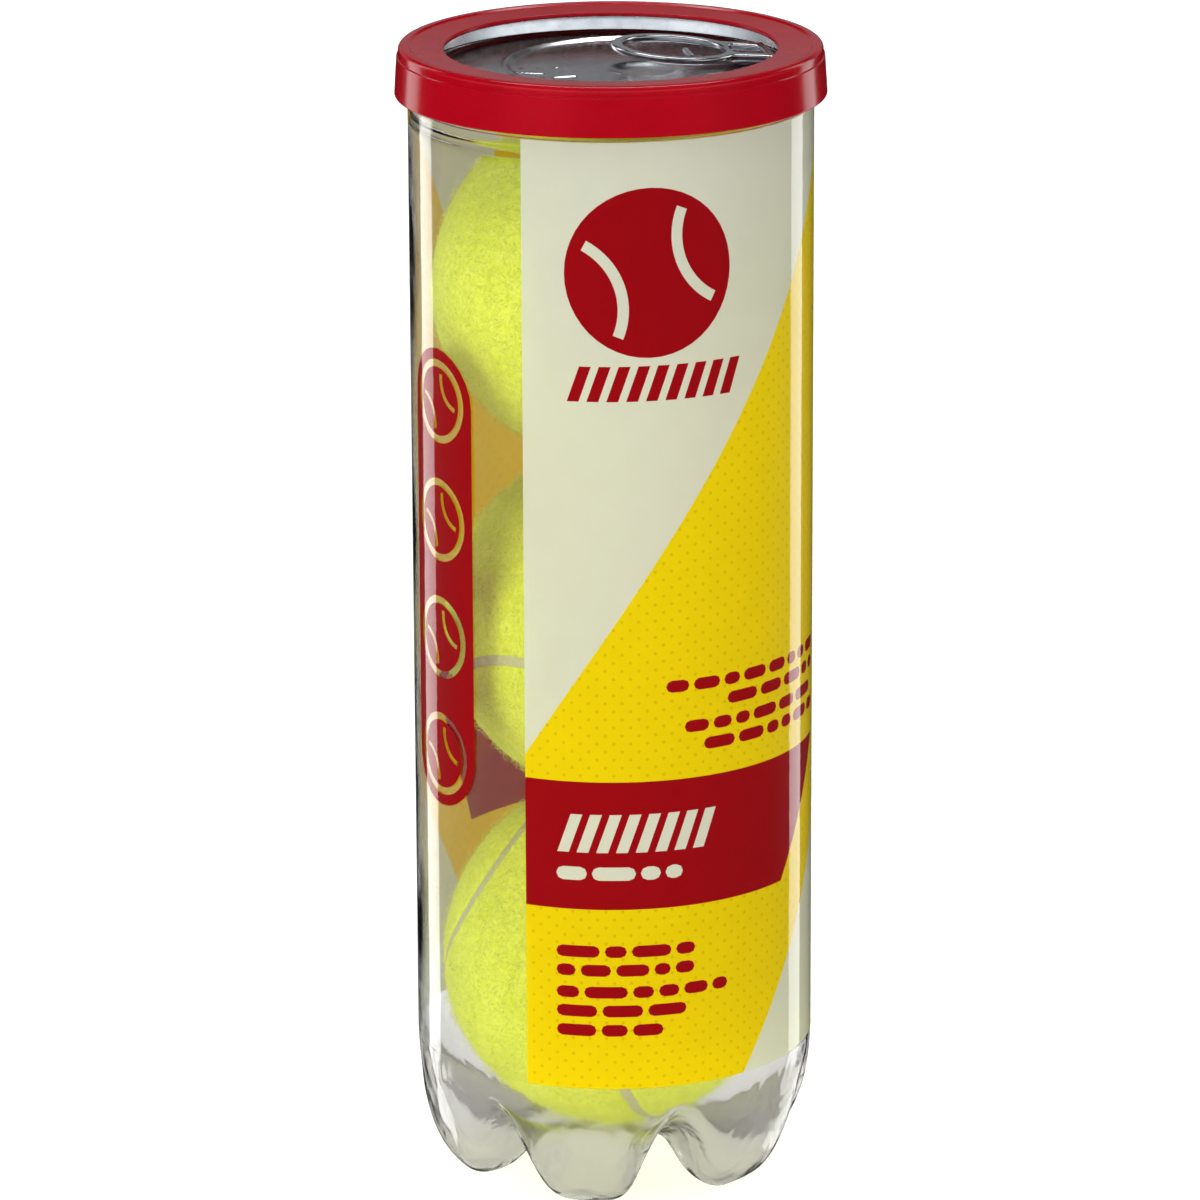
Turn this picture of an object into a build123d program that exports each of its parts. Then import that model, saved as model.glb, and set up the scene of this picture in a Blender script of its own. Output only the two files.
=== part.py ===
"""Clear plastic can of three tennis balls: metal ring-pull end under a red clip-on rim cap.

Millimetres, +Z up. The origin is the centre of the plane the feet stand on, and the label's front faces -Y.
"""

from build123d import *
from math import cos, pi, sin, sqrt
import os

# Balls: their size drives the can's
BALL_R = 32.75
FELT_THICK = 3.0
CORE_THICK = 3.6
CEMENT = 0.25
SEAM_WIDTH = 2.6
SEAM_SINK = 0.7
SEAM_SWING = 0.44
SEAM_POINTS = 48
BALL_GAP = 0.2
BALLS = {
    "lower": {"shift": (0.1, 0.1), "turn": (56, -19, 98)},
    "middle": {"shift": (0.8, 0.2), "turn": (-160, 71, -14)},
    "upper": {"shift": (-0.8, -0.1), "turn": (22, 2, 64)},
}

# Can body: blow-moulded clear plastic. The balls' play sets its radius, and their stack its height.
WALL = 0.45
BALL_PLAY = 4.3
HUB_Z = 6.85
HEADSPACE = 10.7
NECK_H = 13.6
NECK_STEP = 0.3
SHOULDER_RISE = 2.5
BODY_R = BALL_R + BALL_PLAY + WALL
NECK_R = BODY_R - NECK_STEP
STACK_LOW = HUB_Z + WALL + BALL_GAP
STACK_STEP = 2 * BALL_R + BALL_GAP
RIM_Z = STACK_LOW + len(BALLS) * STACK_STEP - BALL_GAP + HEADSPACE
SHOULDER_Z = RIM_Z - NECK_H

# Petaloid base: radii and heights of a foot's profile, and its half width at FOOT_SECTION_R
FEET = 6
FOOT_AZ = -10.0
STRAP_TOP_Z = 28.0
FOOT_SIDE = (BODY_R - 2.8, 6.5)
PAD_R = (BODY_R - 15.5, BODY_R - 10.5)
FOOT_INNER = (13.0, 9.5)
FOOT_SECTION_R = BODY_R - 4.5
FOOT_HALF_LOW = 8.2
FOOT_FLARE = 0.30
FOOT_CORNER = 4.5
WEDGE_R = (8.0, BODY_R + 4.0)
WEDGE_ABOVE = 4.0

# Double seam and metal end
METAL = 0.28
SEAM_H = 3.0
HOOK_OUT = 0.5
HOOK_DEPTH = 1.8
HOOK_THICK = 0.3
HOOK_FIT = 0.12
SEAL_THICK = 0.32
SEAM_FIT = 0.1
MOUTH_PLAY = 1.15
CHUCK_LEAN = 0.9
SCORE_LEDGE = 0.6
SCORE_GAP = 0.1
PANEL_DROP = 3.3
PANEL_BLANK = 6.0
COUNTERSINK_DEPTH = PANEL_DROP + 0.7
HOOK_R = NECK_R + HOOK_OUT
SEAM_R = HOOK_R + HOOK_FIT + METAL
APERTURE_R = BALL_R + MOUTH_PLAY
SEAM_TOP = RIM_Z + SEAL_THICK + METAL
PANEL_Z = SEAM_TOP - PANEL_DROP

# Tear panel: beads, recess round the tab, finger well and rivet
EDGE_BEAD_W = 1.6
EDGE_BEAD_H = 0.5
EDGE_BEAD_R = APERTURE_R - 2.0
RECESS_SHIFT = 6.0
RECESS_AZ = 30.0
RECESS_DEPTH = 0.45
RECESS_MARGIN = 0.8
RECESS_R = EDGE_BEAD_R - EDGE_BEAD_W / 2 - RECESS_MARGIN - RECESS_SHIFT
WELL_AT = 6.0
WELL_BALL_R = 32.0
WELL_DEPTH = 0.7
RIVET_R = 1.9
RIVET_HEAD_R = 2.4
RIVET_HEAD_H = 0.55

# Pull tab: places along it are counted from its nose, which sits inside the score
TAB_AZ = 10.0
TAB_TILT = 4.3
TAB_THICK = 1.2
TAB_EDGE = 0.35
NOSE_R = 0.65
NOSE_RISE = 1.6
HEAD_W = 12.4
HEAD_BLEND = 2.0
HEAD_LAP = 2.8
RING_R = 11.6
RING_BAND = 2.1
WINDOW_W = 7.6
WINDOW_CORNER = 1.6
TONGUE_W = 6.6
TONGUE_THICK = 0.4
TONGUE_LIFT = 0.75
TIP_RUN = 3.2
TIP_RISE = 1.2
TIP_R = 0.7
NOSE_AT = APERTURE_R - 4.5
NOSE_Z = PANEL_Z + NOSE_RISE
HEAD_END = NOSE_AT - 8.8
RING_AT = HEAD_END + HEAD_LAP - RING_R
WINDOW_END = NOSE_AT - 7.0
WINDOW_NOSE = NOSE_AT - 1.0
RIVET_AT = NOSE_AT - 4.0
TONGUE_TIP = NOSE_AT - 14.8
TONGUE_END = NOSE_AT - 1.8
TONGUE_Z = PANEL_Z - RECESS_DEPTH + TONGUE_LIFT

# Label film
LABEL_THICK = 0.1
LABEL_LOW = 25.8
LABEL_TOP = SHOULDER_Z + 5.0

# Rim cap
CAP_H = 9.2
CAP_ROOF = 0.9
CAP_RIDGE_H = 0.28
CAP_RIDGE_W = 2.0
CAP_CORNER = 1.0
CAP_SKIRT = 1.0
CAP_LIP_DROP = 0.35
CAP_LIP = 0.8
CAP_CLEAR = 0.12
CAP_BEAD_H = 1.2
CAP_BEAD_GAP = 0.35
CAP_OUT = 1.9
CAP_TAPER = 0.6
CAP_MOUTH_GAP = 0.75
CAP_R_LOW = SEAM_R + CAP_OUT
CAP_R_HIGH = CAP_R_LOW - CAP_TAPER
CAP_OPEN_R = NOSE_AT + NOSE_R + CAP_MOUTH_GAP

BASE = (Align.CENTER, Align.CENTER, Align.MIN)


def revolved(points):
    """Solid of revolution about Z from a closed outline of (radius, height) corners."""
    with BuildPart() as part:
        with BuildSketch(Plane.XZ):
            with BuildLine():
                Polyline(*points, close=True)
            make_face()
        revolve(axis=Axis.Z)
    return part.part


def ring(inner_r, outer_r, low, high):
    return revolved([(inner_r, low), (outer_r, low), (outer_r, high), (inner_r, high)])


def sheet(points, thick):
    """Revolved sheet of even thickness, centred on the path of (radius, height) points."""
    with BuildSketch(Plane.XZ) as outline:
        with BuildLine():
            Polyline(*points)
            offset(amount=thick / 2, side=Side.BOTH, closed=True, mode=Mode.REPLACE)
        make_face()
    return revolve(outline.sketch, axis=Axis.Z)


def strap_form(inset):
    """Body below the neck without its feet: a cylinder closed by a half ellipsoid."""
    r = BODY_R - inset
    depth = STRAP_TOP_Z - HUB_Z - inset
    with BuildPart() as part:
        with BuildSketch(Plane.XZ):
            with BuildLine():
                low = (0, STRAP_TOP_Z - depth)
                EllipticalCenterArc((0, STRAP_TOP_Z), r, depth, start_angle=270, arc_size=90)
                Line((r, STRAP_TOP_Z), (r, SHOULDER_Z))
                Line((r, SHOULDER_Z), (0, SHOULDER_Z))
                Line((0, SHOULDER_Z), low)
            make_face()
        revolve(axis=Axis.Z)
    return part.part


def foot_ring(inset):
    """Ring with the feet's profile, before it is cut into feet."""
    r = BODY_R - inset
    side = (FOOT_SIDE[0] - inset, FOOT_SIDE[1])
    pad = (PAD_R[1], inset)
    pad_in = (PAD_R[0], inset)
    top_in = (FOOT_INNER[0], FOOT_INNER[1] + inset)
    with BuildPart() as part:
        with BuildSketch(Plane.XZ):
            with BuildLine():
                Spline([(r, STRAP_TOP_Z), side, pad], tangents=[(0, -1), (-1, 0)])
                Line(pad, pad_in)
                Line(pad_in, top_in)
                Line(top_in, (FOOT_INNER[0], STRAP_TOP_Z))
                Line((FOOT_INNER[0], STRAP_TOP_Z), (r, STRAP_TOP_Z))
            make_face()
        revolve(axis=Axis.Z)
    return part.part


def foot_wedge(inset):
    """Flared wedge that cuts one foot out of the ring; its flanks spread with radius and height."""
    top = STRAP_TOP_Z + WEDGE_ABOVE
    sections = []
    for r in WEDGE_R:
        share = r / FOOT_SECTION_R
        low = (FOOT_HALF_LOW - inset) * share
        high = low + FOOT_FLARE * top * share
        plane = Plane(origin=(r, 0, 0), x_dir=(0, 1, 0), z_dir=(1, 0, 0))
        with BuildSketch(plane) as section:
            with BuildLine():
                Polyline((-low, inset), (low, inset), (high, top), (-high, top), close=True)
            make_face()
            bottom = section.vertices().group_by(Axis.Z)[0]
            fillet(bottom, radius=FOOT_CORNER * share * 0.9)
        sections.append(section.sketch)
    return loft(sections, ruled=True)


def base_form(inset):
    """Everything inside the body's surface below the shoulder, at the given inset from the outside."""
    ring_form = foot_ring(inset)
    wedge = foot_wedge(inset)
    form = strap_form(inset)
    for i in range(FEET):
        turn = Rot(0, 0, FOOT_AZ - 90 + 360 / FEET * i)
        form += ring_form & (turn * wedge)
    return form


def body_form(inset):
    """Everything inside the can's surface, from its feet to its rim."""
    neck = revolved(
        [
            (0, SHOULDER_Z),
            (BODY_R - inset, SHOULDER_Z),
            (NECK_R - inset, SHOULDER_Z + SHOULDER_RISE),
            (NECK_R - inset, RIM_Z),
            (0, RIM_Z),
        ]
    )
    return base_form(inset) + neck


def can_body():
    """Blown can with its rim turned out and down, as the body hook of the double seam."""
    flange = ring(NECK_R - WALL, HOOK_R, RIM_Z - HOOK_THICK, RIM_Z)
    hook = ring(HOOK_R - HOOK_THICK, HOOK_R, RIM_Z - HOOK_DEPTH, RIM_Z)
    return body_form(0) + flange + hook - body_form(WALL)


def label():
    return ring(BODY_R, BODY_R + LABEL_THICK, LABEL_LOW, LABEL_TOP)


def sealing_compound():
    return ring(NECK_R - WALL + SEAM_FIT, HOOK_R, RIM_Z, RIM_Z + SEAL_THICK)


def end_ring():
    """Seamed rim of the metal end: cover hook, seam wall, chuck wall and countersink, out to the score."""
    half = METAL / 2
    low = SEAM_TOP - SEAM_H + half
    top = SEAM_TOP - half
    chuck_r = NECK_R - WALL - SEAM_FIT - half
    sink = SEAM_TOP - COUNTERSINK_DEPTH + half
    score = PANEL_Z - half
    path = [
        (NECK_R + SEAM_FIT + half, low),
        (SEAM_R - half, low),
        (SEAM_R - half, top),
        (chuck_r, top),
        (chuck_r - CHUCK_LEAN, sink + half),
        (chuck_r - CHUCK_LEAN - half, sink),
        (APERTURE_R + SCORE_LEDGE + half, sink),
        (APERTURE_R + SCORE_LEDGE, score),
        (APERTURE_R + half, score),
    ]
    return sheet(path, METAL)


def tab_place():
    """Frame of the pull tab: its origin on the can's axis, X out along the tab, Z up."""
    return Rot(0, 0, TAB_AZ)


def panel_top():
    """Solid under the tear panel's upper surface, with its edge bead, tab recess and finger well."""
    low = PANEL_Z - PANEL_BLANK
    half = EDGE_BEAD_W / 2
    crest = PANEL_Z + EDGE_BEAD_H
    form = revolved(
        [
            (0, low),
            (APERTURE_R - SCORE_GAP, low),
            (APERTURE_R - SCORE_GAP, PANEL_Z),
            (EDGE_BEAD_R + half, PANEL_Z),
            (EDGE_BEAD_R + half - EDGE_BEAD_H, crest),
            (EDGE_BEAD_R - half + EDGE_BEAD_H, crest),
            (EDGE_BEAD_R - half, PANEL_Z),
            (0, PANEL_Z),
        ]
    )
    recess = Rot(0, 0, RECESS_AZ) * Pos(RECESS_SHIFT, 0, PANEL_Z - RECESS_DEPTH / 2)
    form -= recess * Cone(RECESS_R - RECESS_DEPTH, RECESS_R, RECESS_DEPTH)
    well = tab_place() * Pos(WELL_AT, 0, PANEL_Z - RECESS_DEPTH)
    form -= well * Sphere(WELL_BALL_R).moved(Pos(0, 0, WELL_BALL_R - WELL_DEPTH))
    return form


def tear_panel():
    """Scored panel with its rivet, which is drawn up from the panel's own metal."""
    form = panel_top()
    panel = form - Pos(0, 0, -METAL) * form
    floor = PANEL_Z - RECESS_DEPTH - METAL / 2
    under = TONGUE_Z
    over = TONGUE_Z + TONGUE_THICK
    shoulder = Cylinder(RIVET_HEAD_R, under - floor, align=BASE).moved(Pos(0, 0, floor))
    stem = Cylinder(RIVET_R, over - floor, align=BASE).moved(Pos(0, 0, floor))
    head = Cylinder(RIVET_HEAD_R, RIVET_HEAD_H, align=BASE)
    head = fillet(head.edges().group_by(Axis.Z)[-1], RIVET_HEAD_H * 0.6).moved(Pos(0, 0, over))
    rivet = shoulder + stem + head
    return panel + tab_place() * Pos(RIVET_AT, 0, 0) * rivet


def tab_tongue():
    """Rivet island of the tab: a strip under the rivet's head, turned up at its tip inside the ring."""
    mid = TONGUE_Z + TONGUE_THICK / 2
    bend = TONGUE_TIP + TIP_RUN
    with BuildPart() as strip:
        with BuildSketch(Plane.XZ):
            with BuildLine():
                Polyline((TONGUE_END, mid), (bend, mid), (TONGUE_TIP, mid + TIP_RISE))
                offset(amount=TONGUE_THICK / 2, side=Side.BOTH, closed=True, mode=Mode.REPLACE)
            make_face()
        extrude(amount=TONGUE_W / 2, both=True)
    tongue = strip.part + Pos(TONGUE_TIP, 0, mid + TIP_RISE) * Rot(90, 0, 0) * Cylinder(TIP_R, TONGUE_W)
    hole = Cylinder(RIVET_R, TONGUE_THICK * 3).moved(Pos(RIVET_AT, 0, mid))
    return tab_place() * (tongue - hole)


def pull_ring():
    """Finger ring with its windowed head and rolled nose, lifted a little at the tail."""
    with BuildPart() as tab:
        with BuildSketch():
            with Locations((RING_AT, 0)):
                Circle(RING_R)
            with Locations(((HEAD_END + NOSE_AT) / 2, 0)):
                Rectangle(NOSE_AT - HEAD_END, HEAD_W)
            fillet(vertices().filter_by(lambda v: abs(v.X - NOSE_AT) > 1), HEAD_BLEND)
            with Locations((RING_AT, 0)):
                Circle(RING_R - RING_BAND, mode=Mode.SUBTRACT)
            with Locations(((WINDOW_END + WINDOW_NOSE) / 2, 0)):
                RectangleRounded(WINDOW_NOSE - WINDOW_END, WINDOW_W, WINDOW_CORNER, mode=Mode.SUBTRACT)
        extrude(amount=TAB_THICK / 2, both=True)
        fillet(edges().filter_by(Plane.XY), TAB_EDGE)
    nose = Pos(NOSE_AT, 0, 0) * Rot(90, 0, 0) * Cylinder(NOSE_R, HEAD_W)
    lifted = Pos(NOSE_AT, 0, NOSE_Z) * Rot(0, TAB_TILT, 0) * Pos(-NOSE_AT, 0, 0)
    return tab_place() * lifted * (tab.part + nose)


def overcap():
    """Open-centred cap over the double seam, with a raised rim and a snap bead under the seam."""
    roof_low = SEAM_TOP + CAP_CLEAR
    roof = roof_low + CAP_ROOF
    crest = roof + CAP_RIDGE_H
    low = crest - CAP_H
    bead = SEAM_TOP - SEAM_H - CAP_BEAD_H / 2
    inner = SEAM_R + CAP_BEAD_GAP
    lip = roof - CAP_LIP_DROP
    with BuildSketch(Plane.XZ) as outline:
        with BuildLine():
            Polyline(
                (CAP_R_LOW, low),
                (CAP_R_HIGH, crest - CAP_CORNER),
                (CAP_R_HIGH - CAP_CORNER, crest),
                (CAP_R_HIGH - CAP_RIDGE_W, crest),
                (CAP_R_HIGH - CAP_RIDGE_W - CAP_RIDGE_H, roof),
                (CAP_OPEN_R, lip),
                (CAP_OPEN_R, lip - CAP_LIP),
                (NECK_R - WALL - 2 * CAP_BEAD_GAP, roof_low),
                (inner, roof_low),
                (inner, bead + CAP_BEAD_H),
                (SEAM_R + CAP_CLEAR, bead + CAP_BEAD_H / 2),
                (SEAM_R + CAP_CLEAR, bead),
                (inner, bead - CAP_BEAD_H / 2),
                (CAP_R_LOW - CAP_SKIRT, low),
                close=True,
            )
        make_face()
        fillet(outline.vertices().sort_by_distance((CAP_R_HIGH, 0, crest - CAP_CORNER))[:2], CAP_CORNER / 2)
    return revolve(outline.sketch, axis=Axis.Z)


def seam_point(angle, radius, side):
    """Point of the seam's curve on a ball, moved sideways along the surface and out to a radius."""
    b = SEAM_SWING / 2
    a = 1 - b
    c = 2 * sqrt(a * b)
    on = Vector(
        a * cos(angle) + b * cos(3 * angle),
        a * sin(angle) - b * sin(3 * angle),
        c * sin(2 * angle),
    )
    along = Vector(
        -a * sin(angle) - 3 * b * sin(3 * angle),
        a * cos(angle) - 3 * b * cos(3 * angle),
        2 * c * cos(2 * angle),
    )
    across = on.cross(along).normalized()
    return (on * BALL_R + across * side).normalized() * radius


def seam_band():
    """Solid band that follows the seam, from below the felt to above it."""
    corners = []
    for radius, side in ((0.85, -1), (1.06, -1), (1.06, 1), (0.85, 1)):
        angles = [2 * pi * i / SEAM_POINTS for i in range(SEAM_POINTS)]
        points = [seam_point(angle, radius * BALL_R, side * SEAM_WIDTH / 2) for angle in angles]
        corners.append(Spline(*points, periodic=True))
    walls = [Face.make_surface_from_curves(corners[i], corners[(i + 1) % 4]) for i in range(4)]
    return Solid(Shell(walls))


def shell(inner_r, outer_r):
    """Hollow ball, turned so that its own poles and meridian stay away from the seam."""
    return Rot(0, 0, 45) * (Sphere(outer_r) - Sphere(inner_r))


def ball():
    """One tennis ball at the origin, as its separate pieces."""
    core_r = BALL_R - FELT_THICK
    band = seam_band()
    felts = (shell(core_r, BALL_R) - band).solids().sort_by(Axis.Z)
    seam = shell(core_r, BALL_R - SEAM_SINK) & band
    half = shell(core_r - CORE_THICK, core_r)
    slab = Box(3 * BALL_R, 3 * BALL_R, CEMENT)
    halves = (half - slab).solids().sort_by(Axis.Z)
    return {
        "felt_a": felts[0],
        "felt_b": felts[1],
        "seam": seam,
        "core_a": halves[0],
        "core_b": halves[1],
        "core_cement": half & slab,
    }


def balls():
    """Three balls stacked on the base's hub, each a little off the axis and turned its own way."""
    pieces = ball()
    parts = {}
    for i, (name, place) in enumerate(BALLS.items()):
        height = STACK_LOW + BALL_R + i * STACK_STEP
        at = Pos(*place["shift"], height) * Rot(*place["turn"])
        for piece, solid in pieces.items():
            parts[f"ball_{name}_{piece}"] = at * solid
    return parts


def main():
    parts = {
        "can_body": can_body(),
        "label": label(),
        "sealing_compound": sealing_compound(),
        "end_ring": end_ring(),
        "tear_panel": tear_panel(),
        "tab_tongue": tab_tongue(),
        "pull_ring": pull_ring(),
        "overcap": overcap(),
    }
    parts.update(balls())
    os.makedirs("parts", exist_ok=True)
    for node, solid in parts.items():
        export_step(solid, f"parts/{node}.step")
        print(node, round(solid.volume, 1), "mm3")


main()
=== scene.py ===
"""Looks of the tennis ball can: clear blown can, printed wrap, red rim cap, ring-pull end and felt balls.

Shapes are worked out in millimetres in the part's frame and scaled to metres when a mesh is made.
"""

import math

import bmesh
import bpy
import numpy as np
from mathutils import Matrix, Vector, geometry, noise

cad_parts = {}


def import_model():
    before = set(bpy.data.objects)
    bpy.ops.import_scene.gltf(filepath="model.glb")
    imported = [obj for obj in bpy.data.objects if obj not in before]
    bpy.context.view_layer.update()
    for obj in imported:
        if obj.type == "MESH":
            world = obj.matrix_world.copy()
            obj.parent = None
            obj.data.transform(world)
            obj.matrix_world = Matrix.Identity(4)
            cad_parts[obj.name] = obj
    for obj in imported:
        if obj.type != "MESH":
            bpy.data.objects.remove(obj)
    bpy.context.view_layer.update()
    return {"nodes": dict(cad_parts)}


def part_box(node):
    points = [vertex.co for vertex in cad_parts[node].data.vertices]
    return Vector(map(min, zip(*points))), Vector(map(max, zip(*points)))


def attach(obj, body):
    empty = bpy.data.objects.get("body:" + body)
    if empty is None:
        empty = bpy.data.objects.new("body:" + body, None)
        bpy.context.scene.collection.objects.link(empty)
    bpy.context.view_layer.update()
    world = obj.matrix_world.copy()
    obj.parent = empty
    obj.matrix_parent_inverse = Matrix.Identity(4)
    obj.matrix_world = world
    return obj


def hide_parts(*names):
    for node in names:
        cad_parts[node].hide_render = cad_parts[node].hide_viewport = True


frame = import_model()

MM = 0.001
SEED = 7
TAU = 2 * math.pi


# ---------------------------------------------------------------- sizes, from the frame

def box_mm(node):
    """Lowest and highest corner of a CAD node, in millimetres."""
    low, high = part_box(node)
    return low / MM, high / MM


LABEL_THICK = 0.1
WALL = 0.45                     # can's wall
METAL = 0.28                    # sheet of the metal end
LABEL_LOW, LABEL_TOP = (corner.z for corner in box_mm("label"))
LABEL_R = 37.6
BODY_R = LABEL_R - LABEL_THICK  # outside of the straight wall
RIM_Z = box_mm("can_body")[1].z
SEAM_TOP = box_mm("end_ring")[1].z
CAP_LOW, CAP_TOP = (corner.z for corner in box_mm("overcap"))
PANEL_Z = SEAM_TOP - 3.3        # plain of the tear panel
NECK_R = BODY_R - 0.3
SHOULDER_Z = RIM_Z - 13.6
SHOULDER_RISE = 2.5
HOOK_R = NECK_R + 0.5           # can's rim, rolled out
SEAM_R = HOOK_R + 0.4           # outside of the double seam
BALL_R = 32.75
BALLS = {"lower": (56, -19, 98), "middle": (-160, 71, -14), "upper": (22, 2, 64)}   # turns in degrees
TAB_AZ = math.radians(10)


def ball_centre(name):
    low_a, high_a = box_mm(f"ball_{name}_felt_a")
    low_b, high_b = box_mm(f"ball_{name}_felt_b")
    low = Vector(min(pair) for pair in zip(low_a, low_b))
    high = Vector(max(pair) for pair in zip(high_a, high_b))
    return (low + high) / 2


# ---------------------------------------------------------------- mesh helpers

def smoothstep(low, high, value):
    share = np.clip((value - low) / (high - low), 0, 1)
    return share * share * (3 - 2 * share)


def smooth_min(a, b, k):
    share = np.clip(0.5 + 0.5 * (b - a) / k, 0, 1)
    return b * (1 - share) + a * share - k * share * (1 - share)


def smooth_max(a, b, k):
    return -smooth_min(-a, -b, k)


def unit(vectors):
    return vectors / np.linalg.norm(vectors, axis=-1, keepdims=True)


def ridge(distance, half_width):
    """Rounded ridge of height 1 over a line, from the distance to it."""
    return np.cos(np.clip(distance / half_width, -1, 1) * math.pi / 2) ** 2


def ripple(x, y, seed):
    """Smooth pseudo-random field between about -1 and 1, from a few plane waves."""
    rng = np.random.default_rng(seed)
    count, slowest, fastest = 7, 1.0, 4.0
    total = 0
    for _ in range(count):
        angle, phase = rng.uniform(0, TAU, 2)
        rate = rng.uniform(slowest, fastest)
        total = total + np.sin(rate * (x * math.cos(angle) + y * math.sin(angle)) + phase)
    return total / math.sqrt(count)


def new_mesh(name, verts, faces, material_index=None):
    mesh = bpy.data.meshes.new(name)
    mesh.from_pydata((np.asarray(verts, float) * MM).tolist(), [], faces)
    if material_index is not None:
        mesh.polygons.foreach_set("material_index", material_index)
    mesh.shade_smooth()
    mesh.validate()
    mesh.update()
    return mesh


def piece(name, mesh, body, materials, replaces):
    """Object for a finished mesh that rides on a body and stands for CAD nodes, if any."""
    obj = bpy.data.objects.new(name, mesh)
    bpy.context.scene.collection.objects.link(obj)
    for material in materials:
        mesh.materials.append(material)
    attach(obj, body)
    if replaces:
        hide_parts(*replaces)


FILLET_SHARE = 0.45     # most of an edge that a fillet takes up
SUPPORT_SHARE = 0.49    # most of an edge that a fillet and its support point take up


def rounded(corners, steps=6, keep=0.12):
    """Outline through (radius, height, fillet) corners, with support points at keep beside each fillet."""
    points = []
    count = len(corners)
    for i, (x, y, fillet) in enumerate(corners):
        here = np.array([x, y], float)
        if fillet <= 0:
            points.append(here)
            continue
        to_last = np.array(corners[i - 1][:2], float) - here
        to_next = np.array(corners[(i + 1) % count][:2], float) - here
        len_last, len_next = np.linalg.norm(to_last), np.linalg.norm(to_next)
        to_last, to_next = to_last / len_last, to_next / len_next
        turn = math.acos(np.clip(np.dot(to_last, to_next), -1, 1))
        reach = min(fillet / math.tan(turn / 2), FILLET_SHARE * len_last, FILLET_SHARE * len_next)
        radius = reach * math.tan(turn / 2)
        start, end = here + to_last * reach, here + to_next * reach
        bisector = unit(to_last + to_next)
        centre = here + bisector * (radius / math.sin(turn / 2))
        a = math.atan2(*(start - centre)[::-1])
        b = math.atan2(*(end - centre)[::-1])
        sweep = (b - a + math.pi) % TAU - math.pi
        if reach + keep < SUPPORT_SHARE * len_last:
            points.append(here + to_last * (reach + keep))
        for k in range(steps + 1):
            angle = a + sweep * k / steps
            points.append(centre + radius * np.array([math.cos(angle), math.sin(angle)]))
        if reach + keep < SUPPORT_SHARE * len_next:
            points.append(here + to_next * (reach + keep))
    return np.array(points)


def sheet_outline(path, thick):
    """Closed outline of a sheet of even thickness along an open path."""
    tangent = np.gradient(path, axis=0)
    normal = unit(np.stack([-tangent[:, 1], tangent[:, 0]], -1))
    side_a, side_b = path + normal * thick / 2, path - normal * thick / 2
    return np.concatenate([side_a, side_b[::-1]])


def grid_faces(rows, columns, wrap_rows=False, start=0):
    """Quads of closed rings of vertices stored ring by ring."""
    faces = []
    for i in range(rows if wrap_rows else rows - 1):
        low, high = start + i * columns, start + ((i + 1) % rows) * columns
        for j in range(columns):
            k = (j + 1) % columns
            faces.append((low + j, low + k, high + k, high + j))
    return faces


def turned(outline, columns):
    """Rings of points of an outline of (radius, height) turned about Z."""
    angles = np.arange(columns) * TAU / columns
    radius, height = outline[:, :1], outline[:, 1:]
    return np.stack([radius * np.cos(angles), radius * np.sin(angles), height + 0 * angles], -1)


def lathe(outline, columns, start=0):
    """Vertices and quads of a closed outline of (radius, height) turned about Z."""
    faces = grid_faces(len(outline), columns, wrap_rows=True, start=start)
    return turned(outline, columns).reshape(-1, 3), faces


def capped(skin):
    """Vertices and faces of rings of points, closed by a fan over the first ring and over the last."""
    rows, columns = skin.shape[:2]
    verts, faces = skin.reshape(-1, 3), grid_faces(rows, columns)
    count = len(verts)
    verts = np.concatenate([verts, [verts[:columns].mean(0), verts[-columns:].mean(0)]])
    last = count - columns
    for j in range(columns):
        k = (j + 1) % columns
        faces.append((k, j, count))
        faces.append((last + j, last + k, count + 1))
    return verts, faces


def outward(mesh):
    """Turns every face of a closed mesh outward."""
    work = bmesh.new()
    work.from_mesh(mesh)
    bmesh.ops.recalc_face_normals(work, faces=work.faces)
    work.to_mesh(mesh)
    work.free()
    return mesh


# ---------------------------------------------------------------- material helpers

def srgb(red, green, blue):
    """Linear colour of an sRGB colour given as 0 to 255."""
    values = []
    for value in (red, green, blue):
        value /= 255
        values.append(value / 12.92 if value <= 0.04045 else ((value + 0.055) / 1.055) ** 2.4)
    return (*values, 1)


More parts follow.
